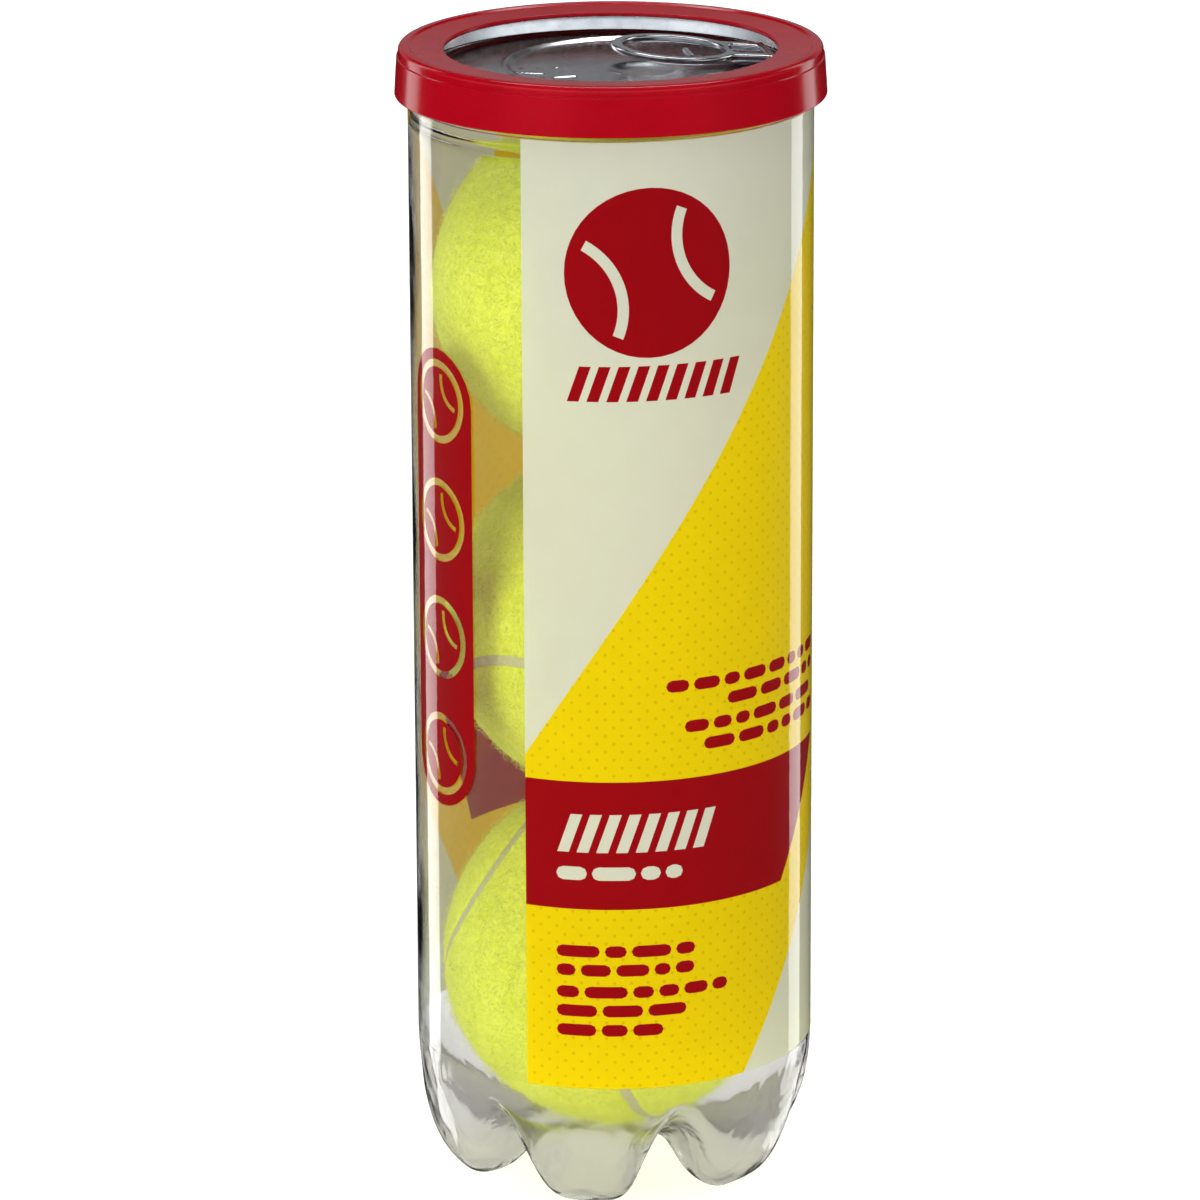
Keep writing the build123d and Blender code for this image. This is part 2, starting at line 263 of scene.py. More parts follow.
class Nodes:
    """Short calls for the nodes of one tree."""

    def __init__(self, tree):
        self.tree = tree

    def node(self, kind, links=None, **settings):
        node = self.tree.nodes.new(kind)
        for name, value in settings.items():
            setattr(node, name, value)
        for socket, value in (links or {}).items():
            self.set(node.inputs[socket], value)
        return node

    def set(self, socket, value):
        if isinstance(value, bpy.types.NodeSocket):
            self.tree.links.new(value, socket)
        else:
            socket.default_value = value

    def place(self, kind="Object", scale=(1, 1, 1), turn=(0, 0, 0)):
        coords = self.node("ShaderNodeTexCoord").outputs[kind]
        return self.node("ShaderNodeMapping", {"Vector": coords, "Scale": scale, "Rotation": turn}).outputs[0]

    def noise(self, scale, detail=3.0, rough=0.5, where=None, distortion=0.0):
        links = {"Vector": where or self.place(), "Scale": scale, "Detail": detail, "Roughness": rough,
                 "Distortion": distortion}
        return self.node("ShaderNodeTexNoise", links).outputs[0]

    def ramp(self, factor, low, high, to_low=0.0, to_high=1.0):
        """Factor moved from the range low..high to the range to_low..to_high and clamped."""
        links = {"Value": factor, "From Min": low, "From Max": high, "To Min": to_low, "To Max": to_high}
        return self.node("ShaderNodeMapRange", links).outputs[0]

    def span(self, factor, low, high):
        """Factor moved from 0..1 to the range low..high."""
        return self.ramp(factor, 0.0, 1.0, low, high)

    def math(self, operation, a, b=0.0):
        return self.node("ShaderNodeMath", {0: a, 1: b}, operation=operation).outputs[0]

    def mix(self, factor, a, b):
        node = self.node("ShaderNodeMix", data_type="RGBA")
        self.set(node.inputs[0], factor)
        self.set(node.inputs[6], a)
        self.set(node.inputs[7], b)
        return node.outputs[2]

    def bump(self, height, strength, distance_mm, normal=None):
        links = {"Height": height, "Strength": strength, "Distance": distance_mm * MM}
        if normal is not None:
            links["Normal"] = normal
        return self.node("ShaderNodeBump", links).outputs[0]


class Shader(Nodes):
    """Node tree of one material, with its principled shader."""

    def __init__(self, name, **sockets):
        self.material = bpy.data.materials.new(name)
        self.material.use_nodes = True
        super().__init__(self.material.node_tree)
        self.main = self.tree.nodes["Principled BSDF"]
        self.out = self.tree.nodes["Material Output"]
        self.give(**sockets)

    def give(self, **links):
        """Values or links for sockets of the principled shader."""
        for socket, value in links.items():
            self.set(self.main.inputs[socket.replace("_", " ")], value)

    def blend(self, factor, first, second):
        """Surface made of two shaders."""
        mix = self.node("ShaderNodeMixShader", {0: factor, 1: first, 2: second})
        self.set(self.out.inputs["Surface"], mix.outputs[0])


# ---------------------------------------------------------------- materials

THICK_LOW, THICK_TOP = 0.020, 0.036     # heights in metres between which the clear base thins out


def clear_plastic():
    """Clear blown plastic, glass-like and open to the lamps. The thick base is greyer and wavier."""
    m = Shader("clear_plastic", Transmission_Weight=1.0, IOR=1.5)
    height = m.node("ShaderNodeSeparateXYZ", {0: m.place()}).outputs[2]
    thick = m.ramp(height, THICK_TOP, THICK_LOW)
    slow = m.noise(45, 2.0)
    fine = m.noise(700, 3.0)
    waves = m.math("MULTIPLY", m.noise(130, 1.2, distortion=0.6), thick)
    normal = m.bump(slow, 0.25, 0.6, m.bump(fine, 0.05, 0.05, m.bump(waves, 0.6, 1.0)))
    haze = m.math("ADD", m.span(m.noise(160, 4.0), 0.0, 0.05), m.math("MULTIPLY", thick, 0.08))
    tint = m.mix(thick, (0.97, 0.985, 0.97, 1), (0.76, 0.75, 0.75, 1))
    m.give(Base_Color=tint, Roughness=haze, Normal=normal)
    path = m.node("ShaderNodeLightPath")
    open_rays = m.math("MAXIMUM", path.outputs["Is Shadow Ray"], path.outputs["Is Diffuse Ray"])
    clear = m.node("ShaderNodeBsdfTransparent", {"Color": (0.98, 0.985, 0.98, 1)})
    m.blend(open_rays, m.main.outputs[0], clear.outputs[0])
    return m.material


def clear_film():
    """Unprinted film of the wrap: all but invisible, with its own gloss."""
    m = Shader("clear_film")
    normal = m.bump(m.noise(60, 2.0), 0.2, 0.3)
    gloss = m.node("ShaderNodeBsdfGlossy", {"Color": (1, 1, 1, 1), "Roughness": 0.04, "Normal": normal})
    clear = m.node("ShaderNodeBsdfTransparent", {"Color": (0.99, 0.99, 0.98, 1)})
    edge = m.node("ShaderNodeFresnel", {"IOR": 1.45, "Normal": normal}).outputs[0]
    facing = m.math("SUBTRACT", 1.0, m.node("ShaderNodeNewGeometry").outputs["Backfacing"])
    m.blend(m.math("MULTIPLY", edge, facing), clear.outputs[0], gloss.outputs[0])
    return m.material


DOT_PITCH = 2.2     # between the printed dots, in millimetres
INK_THROUGH = 0.45  # share of an ink's light that comes through the film


def darker(colour, share):
    """Colour with its three tones multiplied by a share."""
    return [tone * share for tone in colour[:3]] + [1]


def ink(name, colour, glow, dots=None):
    """Ink on the film's back, which lets some light through. Dots are a finer, staggered tone."""
    m = Shader(name, Roughness=0.4, IOR=1.12)
    where = m.place("UV")
    tint = m.mix(m.ramp(m.noise(2.2, 2.0, where=where), 0.3, 0.7), colour, darker(colour, 0.965))
    if dots:
        per_unit = 10 / DOT_PITCH   # the film's coordinates are in centimetres
        slanted = m.place("UV", turn=(0, 0, math.radians(45)), scale=(per_unit, per_unit, 1))
        cell = m.node("ShaderNodeTexVoronoi", {"Vector": slanted, "Scale": 1.0, "Randomness": 0.0})
        mark = m.ramp(cell.outputs["Distance"], 0.17, 0.10)
        tint = m.mix(m.math("MULTIPLY", mark, 0.85), tint, dots)
    grain = m.noise(90, 3.0, where=where)
    wave = m.noise(0.9, 2.0, where=where)
    normal = m.bump(wave, 0.12, 0.5, m.bump(grain, 0.03, 0.02))
    m.give(Base_Color=tint, Roughness=m.span(grain, 0.35, 0.5), Normal=normal)
    through = m.node("ShaderNodeBsdfTranslucent", {"Color": glow, "Normal": normal})
    m.blend(INK_THROUGH, m.main.outputs[0], through.outputs[0])
    return m.material


def red_plastic():
    """Moulded red lid plastic: satin, with fine moulding grain and faint flow marks."""
    m = Shader("red_plastic", IOR=1.3, Subsurface_Weight=0.06, Subsurface_Scale=0.002)
    flow = m.noise(130, 3.0, where=m.place(scale=(1, 1, 0.3)))
    tint = m.mix(m.ramp(flow, 0.3, 0.7), srgb(158, 0, 20), srgb(148, 0, 16))
    grain = m.noise(2600, 4.0, 0.6)
    normal = m.bump(flow, 0.10, 0.15, m.bump(grain, 0.05, 0.03))
    m.give(Base_Color=tint, Roughness=m.span(m.noise(900, 3.0), 0.12, 0.2), Normal=normal)
    return m.material


def aluminium(name, spun, rough=(0.18, 0.34)):
    """Bright can-end metal. Spun metal has rings about the can's axis; tab and panel are rolled sheet."""
    m = Shader(name, Metallic=1.0, Anisotropic=0.3)
    smudge = m.noise(140, 4.0)
    tint = m.mix(m.ramp(smudge, 0.3, 0.75), srgb(216, 216, 218), srgb(190, 192, 196))
    if spun:
        parts = m.node("ShaderNodeSeparateXYZ", {0: m.node("ShaderNodeTexCoord").outputs["Object"]})
        x, y = parts.outputs[0], parts.outputs[1]
        radius = m.math("SQRT", m.math("ADD", m.math("MULTIPLY", x, x), m.math("MULTIPLY", y, y)))
        rings = m.node("ShaderNodeCombineXYZ", {0: radius, 2: parts.outputs[2]}).outputs[0]
        grain = m.noise(3800, 2.0, where=rings)
    else:
        grain = m.noise(1500, 3.0, where=m.place(scale=(0.06, 1, 1), turn=(0, 0, TAB_AZ)))
    rolled = m.noise(1200, 3.0, where=m.place(scale=(0.05, 1, 1), turn=(0, 0, 0.5)))
    normal = m.bump(grain, 0.10, 0.03, m.bump(rolled, 0.08, 0.02))
    m.give(Base_Color=tint, Roughness=m.span(m.noise(500, 4.0), *rough), Normal=normal)
    return m.material


FELT_PAINTED_GLOW = 0.09    # painted glow on the felt, which brightens it whatever the lamps do


def felt(name, light, deep):
    """Brushed felt: matted fibres in two tones, with sheen and a little painted glow that brightens it, not
    lit by any lamp.
    """
    # The emission below is a painted glow that lifts the felt's brightness; no lamp gives it.
    m = Shader(name, Roughness=0.95, Sheen_Weight=0.3, Sheen_Roughness=0.5, Sheen_Tint=srgb(240, 245, 150),
               Emission_Strength=FELT_PAINTED_GLOW, Emission_Color=srgb(216, 232, 20))
    swirl = m.noise(420, 5.0, 0.65, distortion=1.6)
    patch = m.noise(70, 3.0)
    tint = m.mix(m.ramp(swirl, 0.32, 0.68), deep, light)
    tint = m.mix(m.math("MULTIPLY", m.ramp(patch, 0.35, 0.7), 0.35), tint, darker(deep, 0.86))
    strands = m.noise(1000, 6.0, 0.75, distortion=2.5)
    tint = m.mix(m.math("MULTIPLY", m.ramp(strands, 0.5, 0.38), 0.7), tint, srgb(168, 180, 6))
    m.give(Base_Color=tint, Normal=m.bump(strands, 0.7, 0.3, m.bump(swirl, 0.6, 0.5)))
    return m.material


def rubber(name, colour, rough):
    """Matt rubber or cement, with a fine pitted skin."""
    m = Shader(name, Roughness=rough)
    pits = m.noise(900, 4.0, 0.6)
    tint = m.mix(m.ramp(pits, 0.3, 0.7), colour, darker(colour, 0.82))
    m.give(Base_Color=tint, Normal=m.bump(pits, 0.35, 0.15))
    return m.material


# ---------------------------------------------------------------- clear can

CAN_COLUMNS = 300
BASE_CENTRE_Z = 28.0                    # the base ends here, and rays to its surface start here
HUB_DEPTH = BASE_CENTRE_Z - 6.85
BASE_BLEND_Z = 17                       # from here up, the base goes over into the straight wall
NUB_R, NUB_SQUASH = 2.0, 2.2            # moulding nub under the hub
FEET = 6
FOOT_AZ = math.radians(-100)
FOOT_OUT = 10.5                         # from the foot's lowest point out to the wall
FOOT_POWER = 2.42                       # of the foot's outer curve
INSTEP_R, INSTEP_RISE, INSTEP_RUN, INSTEP_LENGTH = 22, 9.5, 9, 13.09    # slope from the pad up to the hub
FLANK_LENGTH = 1.044                    # of a flank's slope, for one millimetre across
SHOULDER_RIBS = ((2.4, 0.4, 1.4), (5.3, 0.2, 0.45), (6.5, 0.2, 0.45))   # rise, depth and half width, inside
RIB_STEP = 0.16                         # between rings where the ribs are
TINY = 1e-12


def base_field(x, y, z):
    """Signed distance, about, to the outside of the can's base: a domed strap with six rounded feet."""
    rho = np.hypot(x, y)
    up = np.minimum(z - BASE_CENTRE_Z, 0)
    q = np.sqrt((rho / BODY_R) ** 2 + (up / HUB_DEPTH) ** 2)
    strap = (q - 1) * q / np.sqrt((rho / BODY_R**2) ** 2 + (up / HUB_DEPTH**2) ** 2 + TINY)
    nub = np.sqrt(rho**2 + ((z - BASE_CENTRE_Z + HUB_DEPTH) * NUB_SQUASH) ** 2) - NUB_R
    strap = smooth_min(strap, nub, 0.8)
    pad_r, less = BODY_R - FOOT_OUT, FOOT_POWER - 1
    out, down = np.maximum(rho - pad_r, 0) / FOOT_OUT, np.maximum(BASE_CENTRE_Z - z, 0) / BASE_CENTRE_Z
    s = (out**FOOT_POWER + down**FOOT_POWER + TINY) ** (1 / FOOT_POWER)
    slope = np.sqrt((out**less / FOOT_OUT) ** 2 + (down**less / BASE_CENTRE_Z) ** 2 + TINY)
    outer = (s - 1) * s**less / slope
    inner = -((rho - INSTEP_R) * INSTEP_RISE + z * INSTEP_RUN) / INSTEP_LENGTH
    profile = smooth_max(outer, inner, 3.0)
    step = TAU / FEET
    turn = np.abs((np.arctan2(y, x) - FOOT_AZ + step / 2) % step - step / 2)
    half = (8.2 + 0.3 * z + 0.012 * np.maximum(z - 8, 0) ** 2) * rho / 33   # half a foot's width

    def foot(angle):
        flank = (rho * np.sin(angle) - half) / FLANK_LENGTH
        return smooth_max(profile, flank, 4.5)

    feet = smooth_min(foot(turn), foot(step - turn), 1.5)
    return smooth_min(strap, feet, 3.2)


def base_surface(columns):
    """Rings of points on the base's outside, from the hub to the straight wall, found along rays."""
    polar = np.concatenate([
        np.linspace(0.02, 30, 17)[:-1], np.linspace(30, 46, 36)[:-1], np.linspace(46, 90, 52)
    ])
    polar = np.radians(polar)[:, None]
    azimuth = (np.arange(columns) * TAU / columns)[None]
    direction = np.stack([np.sin(polar) * np.cos(azimuth), np.sin(polar) * np.sin(azimuth),
                          -np.cos(polar) + 0 * azimuth], -1)
    near, far = np.full(direction.shape[:2], 5.0), np.full(direction.shape[:2], 60.0)
    halvings = 36
    for _ in range(halvings):
        middle = (near + far) / 2
        p = direction * middle[..., None]
        inside = base_field(p[..., 0], p[..., 1], p[..., 2] + BASE_CENTRE_Z) < 0
        near, far = np.where(inside, middle, near), np.where(inside, far, middle)
    points = direction * near[..., None]
    rho = np.hypot(points[..., 0], points[..., 1])
    inset = smooth_min(rho, BODY_R, 1.2) - BODY_R
    level = points[..., 2] + BASE_CENTRE_Z
    inset = inset * (1 - smoothstep(BASE_BLEND_Z, BASE_CENTRE_Z, level))
    points[..., :2] *= ((BODY_R + inset) / np.maximum(rho, 1e-6))[..., None]
    points[..., 2] += BASE_CENTRE_Z
    points[..., 2] = np.maximum(points[..., 2], 0)
    return points


def surface_normals(points):
    """Outward normals of rings of points that run from the bottom up."""
    along = np.gradient(points, axis=0)
    around = np.roll(points, -1, axis=1) - np.roll(points, 1, axis=1)
    return unit(np.cross(around, along))


def can_shell(material):
    """Blown can with an inner skin set in from the outside, rolled out at the rim into the body hook."""
    support = [(BODY_R, BASE_CENTRE_Z + step) for step in (0.3, 1.0, 2.5)]
    straight = [(BODY_R, z) for z in np.linspace(BASE_CENTRE_Z, SHOULDER_Z - 2.5, 24)[1:]]
    shoulder = rounded([
        (BODY_R, SHOULDER_Z - 2.4, 0), (BODY_R, SHOULDER_Z, 1.6), (NECK_R, SHOULDER_Z + SHOULDER_RISE, 1.6),
        (NECK_R, SHOULDER_Z + 6, 0)], steps=5)
    neck = [(NECK_R, z) for z in np.linspace(SHOULDER_Z + 7, RIM_Z - 2.4, 5)]
    radii, heights = np.concatenate([support, straight, shoulder, neck]).T
    ribbed = np.arange(SHOULDER_Z - 1.0, SHOULDER_Z + 7.6, RIB_STEP)
    plain = heights[(heights < ribbed[0] - 0.1) | (heights > ribbed[-1] + 0.1)]
    levels = np.sort(np.concatenate([plain, ribbed]))
    wall = turned(np.stack([np.interp(levels, heights, radii), levels], -1), CAN_COLUMNS)
    outside = np.concatenate([base_surface(CAN_COLUMNS), wall])
    turn = np.arctan2(outside[..., 1], outside[..., 0])
    thick = WALL * (1 + 0.22 * ripple(3 * np.cos(turn), 3 * np.sin(turn) + outside[..., 2] / 9, 3))
    for rise, depth, half in SHOULDER_RIBS:
        thick = thick + depth * ridge(outside[..., 2] - SHOULDER_Z - rise, half)
    inside = outside - surface_normals(outside) * thick[..., None]
    hook = rounded([
        (NECK_R, RIM_Z - 2.0, 0), (NECK_R, RIM_Z - 0.3, 0.12), (HOOK_R - 0.3, RIM_Z - 0.3, 0.08),
        (HOOK_R - 0.3, RIM_Z - 1.8, 0.06), (HOOK_R, RIM_Z - 1.8, 0.06), (HOOK_R, RIM_Z, 0.3),
        (NECK_R - WALL, RIM_Z, 0.3), (NECK_R - WALL, RIM_Z - 2.0, 0)], steps=3)
    skin = np.concatenate([outside, turned(hook, CAN_COLUMNS), inside[::-1]])
    mesh = outward(new_mesh("can_shell", *capped(skin)))
    piece("can_shell", mesh, "can", [material], ["can_body"])


# ---------------------------------------------------------------- wrap film

# Film coordinates run along the film from the can's front, and up from the floor, in millimetres.
PRINT_START, PRINT_END = -17.0, 176.2
FILM_GAP = 1.2                          # between the film's two ends
FILM_CLEAR = 0.02                       # between the film and the wall
EDGE_RISE = LABEL_THICK * 0.55          # of the glued edge
FILM_START = PRINT_END - TAU * LABEL_R + FILM_GAP
CLEAR, WHITE, YELLOW, RED = range(4)
LEAN = 1.5                              # rise of the yellow field's edges, for one millimetre along
FRONT_LINES = ((51.7, 28.4), (48.0, 29.2), (43.7, 33.4), (40.0, 26.5), (36.2, 20.2))    # height and length
SIDE_LINES = ((9.8, 102.7, 44), (22.4, 99.0, 31), (13.4, 94.7, 40), (17.3, 91.0, 36))   # with starts first
BACK_LINES = ((176, 30), (171, 34), (166, 31), (161, 26), (151, 33), (146, 29), (141, 34))
FOOT_LINES = ((44, 26), (39.5, 31), (35, 22))


def bar(x, z, width, height, lean):
    """Leaning bar from its lower left corner."""
    shift = height * lean
    return [(x, z), (x + width, z), (x + width + shift, z + height), (x + shift, z + height)]


def pill(x, z, width, height, steps=4):
    """Bar with round ends, from its lower left corner."""
    r = height / 2
    ends = []
    for cx, start in ((x + width - r, -90), (x + r, 90)):
        ends += on_circle(cx, z + r, r, [math.radians(start + 180 * k / steps) for k in range(steps + 1)])
    return ends


def on_circle(x, z, radius, angles):
    return [(x + radius * math.cos(a), z + radius * math.sin(a)) for a in angles]


def disc(x, z, radius, steps=48):
    return on_circle(x, z, radius, [TAU * k / steps for k in range(steps)])


def arc_band(x, z, radius, width, start, end, steps=20):
    """Band along an arc, from start to end in degrees."""
    angles = [math.radians(start + (end - start) * k / steps) for k in range(steps + 1)]
    return on_circle(x, z, radius + width / 2, angles) + on_circle(x, z, radius - width / 2, angles)[::-1]


def roundel(x, z, radius, tilt, line=WHITE):
    """Ball sign: a disc crossed by two curved lines."""
    gap, width = radius * 1.25, radius * 0.13
    marks = [(disc(x, z, radius), RED)]
    for side in (0, 180):
        away = math.radians(tilt + side)
        cx, cz = x + gap * math.cos(away), z + gap * math.sin(away)
        marks.append((arc_band(cx, cz, radius * 0.86, width, tilt + side + 138, tilt + side + 222), line))
    return marks


def print_shapes():
    """Shapes of the print in film coordinates, later ones over earlier ones: (outline, material)."""
    low, top = LABEL_LOW - 1, LABEL_TOP + 1
    shapes = [([(PRINT_START, low), (PRINT_END, low), (PRINT_END, top), (PRINT_START, top)], WHITE)]

    def stripe(lower, upper, left, right):
        """Yellow between two leaning lines, clipped to left..right."""
        return [(left, LEAN * left + lower), (right, LEAN * right + lower),
                (right, LEAN * right + upper), (left, LEAN * left + upper)]

    shapes.append((stripe(-13.6, 115.8, PRINT_START, 140), YELLOW))
    shapes.append((stripe(-184.3, -54.9, 50, PRINT_END), YELLOW))
    shapes.append(([(PRINT_START, 61.1), (37, 61.1), (37 + 24.8 / LEAN, 85.9), (PRINT_START, 85.9)], RED))
    shapes.append(([(100, 60), (149.9, 59), (160.8, 91), (100 + 31 / LEAN, 91)], RED))
    shapes += roundel(7.0, 182.3, 15.8, 20)
    shapes += hatch(-8.4, 158.4, 33.5, 6.6, 9, RED) + hatch(-10.7, 72.2, 30.5, 7.4, 8, WHITE)
    shapes += words(-10.9, 66.8, 23.9, 2.6, WHITE, 1)
    for k, (z, width) in enumerate(FRONT_LINES):
        shapes += words(-11.0, z, width, 2.3, RED, 10 + k)
    for k, (x, z, width) in enumerate(SIDE_LINES):
        shapes += words(x, z, width, 2.3, RED, 20 + k)
    for k, (z, width) in enumerate(BACK_LINES):
        shapes += words(72, z, width, 1.7, RED, 30 + k)
    shapes += roundel(128.0, 186.0, 10.0, -25)
    for k, (z, width) in enumerate(FOOT_LINES):
        shapes += words(74, z, width, 2.0, RED, 40 + k)
    return shapes + window_motif()


def hatch(x, z, width, height, count, kind):
    """Row of leaning bars of one size."""
    lean = 0.35
    step = (width - height * lean) / (count - 0.4)
    return [(bar(x + k * step, z, step * 0.6, height, lean), kind) for k in range(count)]


def words(x, z, width, height, kind, seed):
    """Line of plain dashes of uneven length."""
    rng = np.random.default_rng(seed)
    shapes, at = [], x
    while at < x + width - height:
        length = min(rng.uniform(3.0, 8.5), x + width - at)
        shapes.append((pill(at, z, max(length, height * 1.05), height), kind))
        at += length + 0.9
    return shapes


def window_motif():
    """Upright motif on the clear film: a broad stroke with a row of balls cut out of it."""
    x, low, high, half, count = -38.6, 76.0, 164.0, 10.0, 4
    ends = []
    for z, start in ((high - half, 0), (low + half, 180)):
        ends += on_circle(x, z, half, [math.radians(start + 15 * k) for k in range(13)])
    shapes = [(ends, RED)]
    for k in range(count):
        z = low + half + (high - low - 2 * half) * k / (count - 1)
        shapes.append((disc(x, z, 7.9), CLEAR))
        shapes += roundel(x, z, 6.5, 35, CLEAR)
    return shapes


def in_polygon(points, outline):
    """Which points lie inside an outline."""
    inside = np.zeros(len(points), bool)
    x, y = points[:, 0], points[:, 1]
    corners = np.array(outline, float)
    for (x0, y0), (x1, y1) in zip(corners, np.roll(corners, -1, axis=0)):
        crosses = (y0 > y) != (y1 > y)
        with np.errstate(divide="ignore", invalid="ignore"):
            at = (x1 - x0) * (y - y0) / (y1 - y0) + x0
        inside ^= crosses & (x < at)
    return inside


FILM_COLUMNS, FILM_ROWS = 145, 31
FILM_SUPPORT = (LABEL_LOW + 0.2, LABEL_LOW + 0.8, LABEL_TOP - 0.8, LABEL_TOP - 0.2)


def film_triangles(shapes):
    """Flat triangles of the film and their inks, cut along every printed outline and along a grid."""
    left, right = FILM_START, PRINT_END
    points, edges = [], []

    def add_line(line, closed):
        first = len(points)
        points.extend(line)
        count = len(line)
        for k in range(count if closed else count - 1):
            edges.append((first + k, first + (k + 1) % count))

    for x in np.linspace(left, right, FILM_COLUMNS):
        add_line([(x, z) for z in (LABEL_LOW, LABEL_TOP)], False)
    for z in (*np.linspace(LABEL_LOW, LABEL_TOP, FILM_ROWS), *FILM_SUPPORT):
        add_line([(x, z) for x in (left, right)], False)
    for outline, _ in shapes:
        add_line(outline, True)
    verts, _, faces, *_ = geometry.delaunay_2d_cdt([Vector(p) for p in points], edges, [], 0, 1e-5)
    verts = np.array([tuple(v) for v in verts])
    faces = np.array(faces)
    centres = verts[faces].mean(1)
    keep = ((centres[:, 0] > left) & (centres[:, 0] < right)
            & (centres[:, 1] > LABEL_LOW) & (centres[:, 1] < LABEL_TOP))
    faces, centres = faces[keep], centres[keep]
    kinds = np.full(len(faces), CLEAR)
    for outline, kind in shapes:
        kinds[in_polygon(centres, outline)] = kind
    used, index = np.unique(faces, return_inverse=True)
    return verts[used], index.reshape(faces.shape), kinds


def wrap_film(materials):
    """Wrap as a closed thin film, printed on its inner face and raised at the edge where it is glued."""
    flat, faces, kinds = film_triangles(print_shapes())
    edge = smoothstep(PRINT_END - 4.5, PRINT_END - 3.2, flat[:, 0]) * EDGE_RISE
    angle = flat[:, 0] / LABEL_R - math.pi / 2
    layers = []
    for radius in (LABEL_R, BODY_R + FILM_CLEAR):
        r = radius + edge
        layers.append(np.stack([r * np.cos(angle), r * np.sin(angle), flat[:, 1]], -1))
    count = len(flat)
    out_faces = [tuple(f) for f in faces]
    in_faces = [tuple(f[::-1] + count) for f in faces]
    directed = set()
    for a, b, c in faces:
        directed.update(((a, b), (b, c), (c, a)))
    rim = [(a, b) for a, b in directed if (b, a) not in directed]
    sides = [(b, a, a + count, b + count) for a, b in sorted(rim)]
    material_index = [CLEAR] * len(faces) + list(kinds) + [CLEAR] * len(sides)
    mesh = new_mesh("wrap_film", np.concatenate(layers), out_faces + in_faces + sides, material_index)
    mesh.polygons.foreach_set("use_smooth", [True] * (2 * len(faces)) + [False] * len(sides))
    uv = mesh.uv_layers.new(name="film")
    loops = np.empty(len(mesh.loops), int)
    mesh.loops.foreach_get("vertex_index", loops)
    uv.data.foreach_set("uv", (flat[loops % count] / 10).ravel())
    piece("wrap_film", mesh, "can", materials, ["label"])


# ---------------------------------------------------------------- rim cap

RING_COLUMNS = 288      # of the cap and of the metal ring


def rim_cap(material):
    """Open-centred cap: skirt with a step line, rolled crest, sloping roof and thick lip."""
    roof_low = SEAM_TOP + 0.12
    inner = SEAM_R + 0.35
    bead = SEAM_TOP - 3.6
    outline = rounded([
        (40.0, CAP_LOW, 0.3), (39.55, CAP_TOP - 2.05, 0.08), (39.3, CAP_TOP - 1.85, 0.08),
        (39.2, CAP_TOP - 0.05, 0.95), (37.4, CAP_TOP, 0.25), (36.9, CAP_TOP - 0.3, 0.25),
        (30.8, CAP_TOP - 0.63, 0.32), (30.8, CAP_TOP - 1.43, 0.25), (31.9, CAP_TOP - 1.40, 0.3),
        (36.05, roof_low, 0.2), (inner, roof_low, 0.3), (inner, bead + 1.2, 0.2),
        (SEAM_R + 0.12, bead + 0.6, 0.15), (SEAM_R + 0.12, bead, 0.15), (inner, bead - 0.6, 0.2),
        (39.0, CAP_LOW, 0.2)])
    verts, faces = lathe(outline, RING_COLUMNS)
    mesh = outward(new_mesh("rim_cap", verts, faces))
    piece("rim_cap", mesh, "overcap", [material], ["overcap"])


# ---------------------------------------------------------------- metal end

def seamed_ring(material):
    """Double seam, chuck wall and countersink of the metal end."""
    low, top = SEAM_TOP - 3.0 + METAL / 2, SEAM_TOP - METAL / 2
    chuck = NECK_R - WALL - 0.1 - METAL / 2
    sink = SEAM_TOP - 4.0 + METAL / 2
    path = rounded([
        (NECK_R + 0.1 + METAL / 2, low + 0.1, 0), (SEAM_R - METAL / 2, low, 0.25),
        (SEAM_R - METAL / 2, top, 0.62), (chuck, top, 0.55), (chuck - 0.9, sink + 0.1, 0.35),
        (34.55, sink, 0.3), (34.42, PANEL_Z - METAL / 2, 0.2), (34.04, PANEL_Z - METAL / 2, 0)],
        steps=7, keep=0.08)
    verts, faces = lathe(sheet_outline(path, METAL), RING_COLUMNS)
    mesh = outward(new_mesh("seamed_ring", verts, faces))
    piece("seamed_ring", mesh, "can", [material], ["end_ring"])


def segment_distance(x, y, start, end):
    (x0, y0), (x1, y1) = start, end
    along = np.clip(((x - x0) * (x1 - x0) + (y - y0) * (y1 - y0)) / ((x1 - x0) ** 2 + (y1 - y0) ** 2), 0, 1)
    return np.hypot(x - x0 - along * (x1 - x0), y - y0 - along * (y1 - y0))


RECESS_SHIFT, RECESS_AZ, RECESS_DEPTH = 6, math.radians(30), 0.45   # recess round the tab
WELL_OUT, WELL_DEPTH = 6, 0.7           # finger well under the pull ring
RIVET_OUT = 25.4                        # rivet, along the tab
STAMPED_STROKES = (((-18, -2.5), (-12.5, -3.6)), ((-14, -9.2), (-6.5, -10.4)), ((-10.5, -6.8), (-6.5, -5.9)))
STAMPED_DOTS = ((-19.5, 0.6), (-16.6, 1.2), (-13, 1.4), (-10, 1.8), (-12.6, -6.6), (-1.8, -11.6), (0.2, -12))


